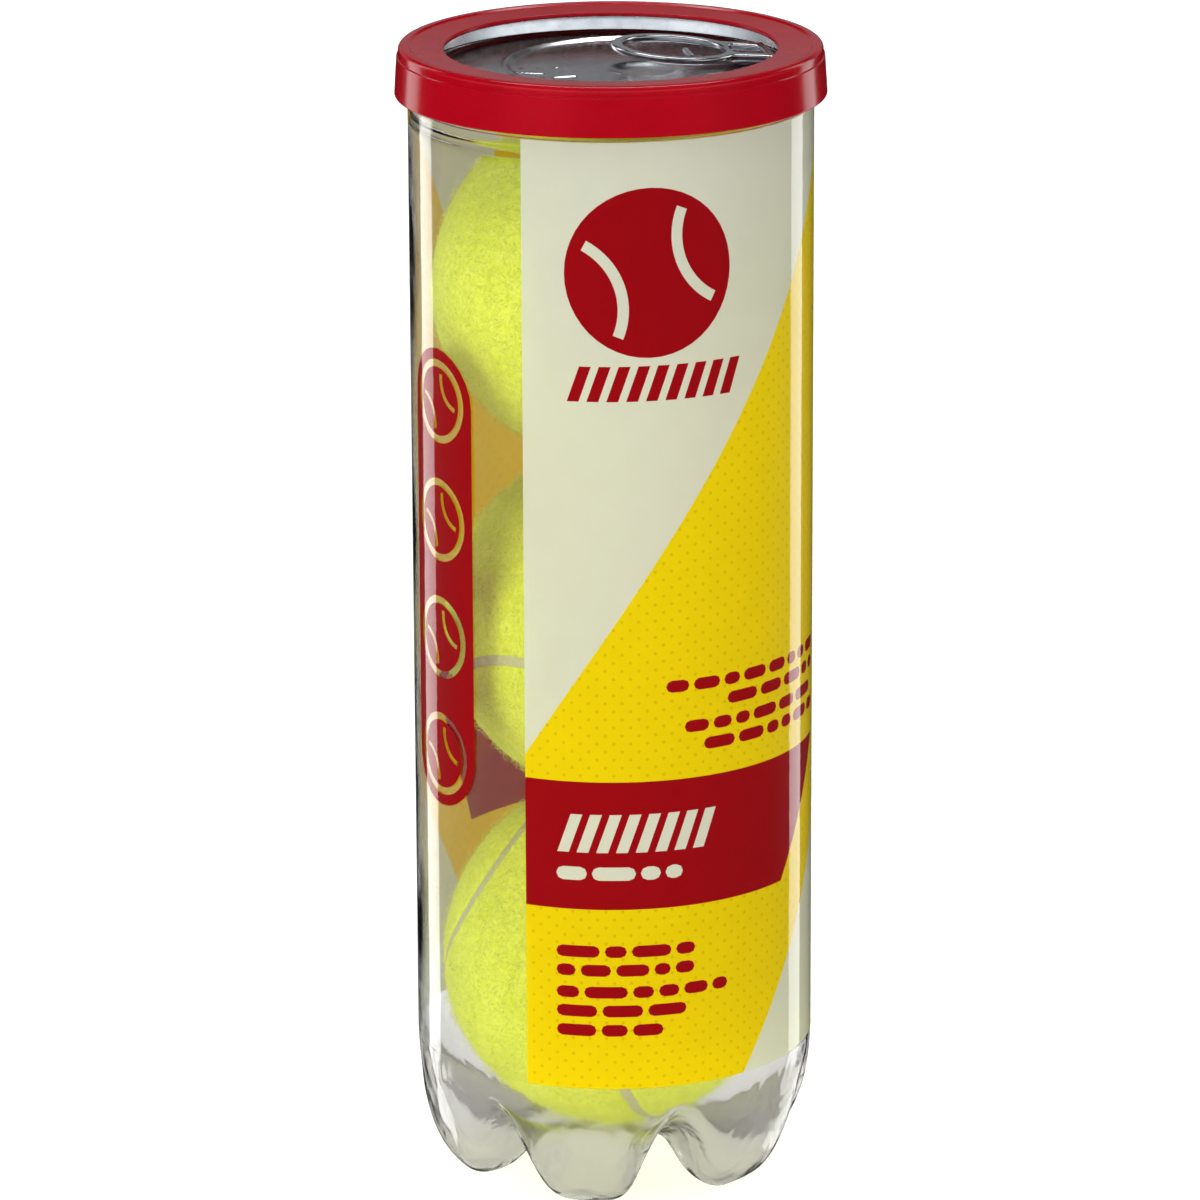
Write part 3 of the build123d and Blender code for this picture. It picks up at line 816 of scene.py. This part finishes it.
def panel_height(x, y):
    """Height of the tear panel's top over its plain: edge bead, recess round the tab, well and stamping."""
    rho = np.hypot(x, y)
    recess = np.hypot(x - RECESS_SHIFT * math.cos(RECESS_AZ), y - RECESS_SHIFT * math.sin(RECESS_AZ))
    height = 0.5 * ridge(rho - 31.9, 0.95)
    height += -RECESS_DEPTH * (1 - smoothstep(23.4, 24.5, recess)) + 0.22 * ridge(recess - 24.9, 0.7)
    tx, ty = x * math.cos(TAB_AZ) + y * math.sin(TAB_AZ), -x * math.sin(TAB_AZ) + y * math.cos(TAB_AZ)
    well = np.hypot(tx - WELL_OUT, ty)
    height += -WELL_DEPTH * (1 - smoothstep(3.4, 6.9, well)) * (1 - smoothstep(24, 24.4, recess))
    height += 0.16 * ridge(np.hypot(tx - RIVET_OUT, ty) - 3.6, 0.5)
    for start, end in STAMPED_STROKES:
        height += 0.26 * ridge(segment_distance(x, y, start, end), 0.5)
    for dot_x, dot_y in STAMPED_DOTS:
        height += 0.24 * ridge(np.hypot(x - dot_x, y - dot_y), 0.62)
    height += 0.2 * ridge(np.hypot(x - 2.6, y + 11.2) - 1.1, 0.45)
    edge = np.clip((rho - 33.55) / 0.25, 0, 1)
    return height - 0.1 * (1 - np.sqrt(1 - edge**2)) + 0.012 * ripple(x / 5, y / 5, 11)


def scored_panel(material):
    """Tear panel pressed from thin metal, with its rivet."""
    rings = np.concatenate([np.linspace(0.4, 31, 100), np.linspace(31, 33.8, 22)[1:]])
    angles = np.arange(CAN_COLUMNS) * TAU / CAN_COLUMNS
    x, y = rings[:, None] * np.cos(angles), rings[:, None] * np.sin(angles)
    top = np.stack([x, y, PANEL_Z + panel_height(x, y)], -1)
    under = top[::-1].copy()
    under[..., 2] -= METAL
    verts, faces = capped(np.concatenate([top, under]))
    floor, tab_low = PANEL_Z - RECESS_DEPTH - METAL / 2, PANEL_Z - RECESS_DEPTH + 0.75
    tab_top = tab_low + 0.4
    rivet = rounded([
        (0.02, floor, 0), (2.4, floor, 0), (2.4, tab_low, 0.1), (1.9, tab_low, 0.05), (1.9, tab_top, 0.05),
        (2.4, tab_top, 0.12), (2.4, tab_top + 0.55, 0.3), (1.2, tab_top + 0.5, 0.2),
        (0.02, tab_top + 0.36, 0)], steps=4, keep=0.05)
    rivet_verts, rivet_faces = lathe(rivet, 48, start=len(verts))
    rivet_verts += [RIVET_OUT * math.cos(TAB_AZ), RIVET_OUT * math.sin(TAB_AZ), 0]
    mesh = outward(new_mesh("scored_panel", np.concatenate([verts, rivet_verts]), faces + rivet_faces))
    piece("scored_panel", mesh, "tear_panel", [material], ["tear_panel"])


# ---------------------------------------------------------------- balls

SEAM_SWING = 0.44       # how far the seam winds
SEAM_STEPS = 420
SEAM_PROFILE = (        # across the seam and over the ball's radius
    (-1.45, -1.0), (-1.35, -0.72), (-0.9, -0.5), (0, -0.42), (0.9, -0.5), (1.35, -0.72), (1.45, -1.0),
    (0.8, -1.3), (-0.8, -1.3))
FIBRES = 8000
FIBRE_R = 0.042
FIBRE_ROOT = 0.25       # depth in the felt
FIBRE_STATIONS = 5
FIBRE_CLEAR = 1.3       # no fibre starts nearer the seam's middle


def seam_curve(steps):
    """Points of the seam on a unit ball."""
    t = np.arange(steps) * TAU / steps
    b = SEAM_SWING / 2
    a = 1 - b
    c = 2 * math.sqrt(a * b)
    x, y, z = a * np.cos(t) + b * np.cos(3 * t), a * np.sin(t) - b * np.sin(3 * t), c * np.sin(2 * t)
    return unit(np.stack([x, y, z], -1))


def ball_matrix(name):
    """Turn of a ball, about its own X, Y and Z in that order."""
    turn_x, turn_y, turn_z = (math.radians(a) for a in BALLS[name])
    turn = Matrix.Rotation(turn_x, 3, "X") @ Matrix.Rotation(turn_y, 3, "Y") @ Matrix.Rotation(turn_z, 3, "Z")
    return np.array(turn)


def placed(points, name):
    """Points about a ball's own middle, turned and moved to where the ball is."""
    return points @ ball_matrix(name).T + np.array(ball_centre(name))


def seam_distance(directions):
    """Distance in millimetres along the ball from each direction to the seam's middle."""
    curve = seam_curve(SEAM_STEPS).T
    nearest = np.concatenate([(part @ curve).max(1) for part in np.array_split(directions, 12)])
    return np.arccos(np.clip(nearest, -1, 1)) * BALL_R


def felt_skin(name, material):
    """Felt cover of a ball, pulled down into a groove along the seam and lumpy like brushed cloth."""
    work = bmesh.new()
    bmesh.ops.create_icosphere(work, subdivisions=7, radius=1.0)
    directions = unit(np.array([v.co for v in work.verts]))
    faces = [tuple(v.index for v in f.verts) for f in work.faces]
    work.free()
    away = seam_distance(directions)
    lumps = np.array([noise.fractal(Vector(d) * 16, 0.6, 2.0, 4) for d in directions])
    tufts = np.array([noise.noise(Vector(d) * 75 + Vector((7, 3, 1))) for d in directions])
    height = 0.12 * lumps + 0.13 * tufts * smoothstep(0.8, 1.8, away) - 0.14
    height -= 0.8 * (1 - smoothstep(0.55, 1.45, away))
    radius = BALL_R + np.minimum(height, 0.0)
    mesh = new_mesh(f"ball_{name}_felt", placed(directions * radius[:, None], name), faces)
    nodes = [f"ball_{name}_felt_a", f"ball_{name}_felt_b"]
    piece(f"ball_{name}_felt", mesh, f"ball_{name}", [material], nodes)


def seam_bead(name, material):
    """Rubbery seam between the felt panels: a low crowned strip."""
    curve = seam_curve(SEAM_STEPS)
    along = unit(np.roll(curve, -1, axis=0) - np.roll(curve, 1, axis=0))
    across = np.cross(curve, along)
    rows = [curve * (BALL_R + rise) + across * side for side, rise in SEAM_PROFILE]
    verts = placed(np.stack(rows, 1).reshape(-1, 3), name)
    faces = grid_faces(SEAM_STEPS, len(SEAM_PROFILE), wrap_rows=True)
    mesh = outward(new_mesh(f"ball_{name}_seam_bead", verts, faces))
    piece(f"ball_{name}_seam_bead", mesh, f"ball_{name}", [material], [f"ball_{name}_seam"])


def fuzz(name, material, seed):
    """Loose fibres that stand off the felt: thin three-sided hairs, curved and lying over.

    They lie flat about the ball's top and bottom, where its neighbours are.
    """
    rng = np.random.default_rng(seed)
    base = unit(rng.normal(size=(FIBRES * 2, 3)))
    base = base[seam_distance(base) > FIBRE_CLEAR][:FIBRES]
    count = len(base)
    lean = unit(np.cross(base, rng.normal(size=base.shape)))
    curl = np.cross(base, lean) * rng.uniform(-1, 1, (count, 1))
    room = 1 - 0.85 * smoothstep(0.90, 0.965, np.abs((base @ ball_matrix(name).T)[:, 2]))
    reach = (rng.uniform(0.6, 2.6, count))[:, None]
    stand = (rng.uniform(0.1, 1.0, count) ** 1.4 * 1.25 * room)[:, None]
    spine = []
    for t in np.arange(FIBRE_STATIONS) / (FIBRE_STATIONS - 1):
        height = BALL_R - FIBRE_ROOT + (stand + FIBRE_ROOT) * math.sin(t * 2.0)
        spine.append(base * height + lean * reach * t + curl * t * t * 0.9)
    spine = np.stack(spine, 1)
    tangent = unit(np.gradient(spine, axis=1))
    side = unit(np.cross(tangent, base[:, None]))
    other = np.cross(tangent, side)
    taper = np.linspace(1, 0.45, FIBRE_STATIONS)[None, :, None] * FIBRE_R
    corners = [side * math.cos(a) + other * math.sin(a) for a in (0, TAU / 3, 2 * TAU / 3)]
    verts = placed(np.stack([spine + c * taper for c in corners], 2).reshape(-1, 3), name)
    each = 3 * FIBRE_STATIONS
    start = (np.arange(count) * each)[:, None, None]
    quads = (np.array(grid_faces(FIBRE_STATIONS, 3))[None] + start).reshape(-1, 4)
    ends = (np.array([(2, 1, 0), (each - 3, each - 2, each - 1)])[None] + start).reshape(-1, 3)
    mesh = outward(new_mesh(f"ball_{name}_fuzz", verts, quads.tolist() + ends.tolist()))
    piece(f"ball_{name}_fuzz", mesh, f"ball_{name}", [material], ())


def balls():
    cover = felt("felt_yellow", srgb(250, 254, 84), srgb(222, 232, 26))
    hairs = felt("felt_hairs", srgb(252, 254, 130), srgb(236, 242, 80))
    seam = rubber("seam_rubber", srgb(204, 200, 142), 0.7)
    core = rubber("core_rubber", srgb(38, 38, 40), 0.55)
    cement = rubber("core_cement", srgb(120, 104, 70), 0.7)
    for i, name in enumerate(BALLS):
        felt_skin(name, cover)
        seam_bead(name, seam)
        fuzz(name, hairs, SEED + i)
        for node, material in (("core_a", core), ("core_b", core), ("core_cement", cement)):
            finish_node(f"ball_{name}_{node}", material)


def finish_node(node, material):
    """Gives a CAD node that stays its material."""
    obj = frame["nodes"][node]
    obj.data.materials.clear()
    obj.data.materials.append(material)


# ---------------------------------------------------------------- stage

FLOOR_R, FLOOR_Z, FLOOR_SIDES = 7, -0.0002, 96      # metres
STRIP_TURN, STRIP_OUT = 121.5, 0.20                 # degrees from the front, metres from the can's axis
MIDDLE = (0, 0, 0.11)                               # of the can


def stage_floor():
    m = Shader("pale_floor", Roughness=0.85, Emission_Color=(1, 1, 1, 1), Emission_Strength=0.62)
    m.give(Base_Color=m.mix(m.ramp(m.noise(30, 3.0), 0.3, 0.7), (0.62, 0.62, 0.63, 1), (0.60, 0.60, 0.61, 1)))
    angles = [TAU * k / FLOOR_SIDES for k in range(FLOOR_SIDES)]
    mesh = bpy.data.meshes.new("floor")
    mesh.from_pydata([(FLOOR_R * math.cos(a), FLOOR_R * math.sin(a), FLOOR_Z) for a in angles], [],
                     [tuple(range(FLOOR_SIDES))])
    mesh.materials.append(m.material)
    floor = bpy.data.objects.new("floor", mesh)
    bpy.context.scene.collection.objects.link(floor)
    floor.visible_glossy = False


def area_light(name, place, aim, size, watts, glossy=True, diffuse=True):
    """Rectangular lamp at a place, facing a point. Size is (width, height)."""
    data = bpy.data.lights.new(name, "AREA")
    data.shape, data.size, data.size_y = "RECTANGLE", *size
    data.energy = watts
    lamp = bpy.data.objects.new(name, data)
    bpy.context.scene.collection.objects.link(lamp)
    lamp.location = place
    lamp.rotation_euler = (Vector(aim) - Vector(place)).to_track_quat("-Z", "Y").to_euler()
    lamp.visible_camera = False
    lamp.visible_transmission = False
    lamp.visible_glossy = glossy
    lamp.visible_diffuse = diffuse


def lights():
    """Soft lamps that light matt surfaces only, and lamps that only show as highlights."""
    area_light("top", (0.0, -0.2, 2.4), MIDDLE, (2.6, 2.6), 52, glossy=False)
    area_light("fill_left", (-1.1, -1.3, 0.6), MIDDLE, (1.2, 1.0), 20, glossy=False)
    area_light("fill_right", (1.3, -0.9, 0.6), MIDDLE, (1.0, 1.0), 8, glossy=False)
    area_light("back", (0, 1.4, 0.75), (0, 0, 0.12), (1.0, 0.4), 6.0, glossy=False)
    area_light("crest", (0.0, 0.7, 1.4), (0, 0, 0.2), (0.9, 0.3), 9.0, diffuse=False)
    for side, angle in (("left", -STRIP_TURN), ("right", STRIP_TURN)):
        away = math.radians(angle)
        place = (STRIP_OUT * math.sin(away), -STRIP_OUT * math.cos(away), MIDDLE[2])
        area_light(f"strip_{side}", place, MIDDLE, (0.052, 0.5), 0.2, diffuse=False)


def world():
    """Pale surround. Mirrors see it as a darker gradient, so that metal and plastic keep their edges."""
    scene = bpy.context.scene
    scene.world = bpy.data.worlds.new("surround")
    scene.world.use_nodes = True
    n = Nodes(scene.world.node_tree)
    n.tree.nodes.clear()
    out = n.node("ShaderNodeOutputWorld")
    toward = n.node("ShaderNodeSeparateXYZ", {0: n.node("ShaderNodeTexCoord").outputs["Generated"]})
    front = n.ramp(toward.outputs[1], 0.35, -0.5, 0.27, 1.8)
    above = n.ramp(toward.outputs[2], -0.02, 0.1, 0.03, 1.0)
    high = n.ramp(toward.outputs[2], 0.29, 0.36, 1.0, 0.1)
    level = n.math("MULTIPLY", n.math("MULTIPLY", front, above), high)
    mirror = n.node("ShaderNodeBackground", {0: (0.90, 0.96, 1.0, 1), 1: level})
    plain = n.node("ShaderNodeBackground", {0: (1, 1, 1, 1), 1: 0.12})
    glossy = n.node("ShaderNodeLightPath").outputs["Is Glossy Ray"]
    mix = n.node("ShaderNodeMixShader", {0: glossy, 1: plain.outputs[0], 2: mirror.outputs[0]})
    n.set(out.inputs[0], mix.outputs[0])


def camera():
    """Camera that looks down at the can's front from 16 degrees."""
    distance, elevation, roll = 1.3324, math.radians(16.36), math.radians(-0.254)
    target = Vector((-0.00242, 0, 0.1100))
    back = Vector((0, -math.cos(elevation), math.sin(elevation)))
    right, up = Vector((1, 0, 0)), Vector((0, math.sin(elevation), math.cos(elevation)))
    axis_x = right * math.cos(roll) + up * math.sin(roll)
    axis_y = -right * math.sin(roll) + up * math.cos(roll)
    data = bpy.data.cameras.new("camera")
    data.lens, data.sensor_width = 212.07, 36
    data.clip_start, data.clip_end = 0.01, 50
    obj = bpy.data.objects.new("camera", data)
    bpy.context.scene.collection.objects.link(obj)
    turn = Matrix((axis_x, axis_y, back)).transposed()
    obj.matrix_world = Matrix.Translation(target + back * distance) @ turn.to_4x4()
    bpy.context.scene.camera = obj


def main():
    camera()
    world()
    lights()
    stage_floor()
    bpy.context.scene.view_settings.view_transform = "Standard"
    can_shell(clear_plastic())
    wrap_film([
        clear_film(),
        ink("ink_white", srgb(232, 234, 218), srgb(226, 222, 200)),
        ink("ink_yellow", srgb(254, 230, 0), srgb(246, 190, 0), srgb(226, 184, 0)),
        ink("ink_red", srgb(168, 0, 14), srgb(150, 16, 18)),
    ])
    rim_cap(red_plastic())
    spun = aluminium("aluminium_spun", True)
    seamed_ring(spun)
    scored_panel(aluminium("aluminium_panel", False, (0.16, 0.30)))
    tab = aluminium("aluminium_tab", False, (0.12, 0.22))
    finish_node("pull_ring", tab)
    finish_node("tab_tongue", tab)
    finish_node("sealing_compound", rubber("sealing_rubber", srgb(150, 150, 146), 0.5))
    balls()


main()
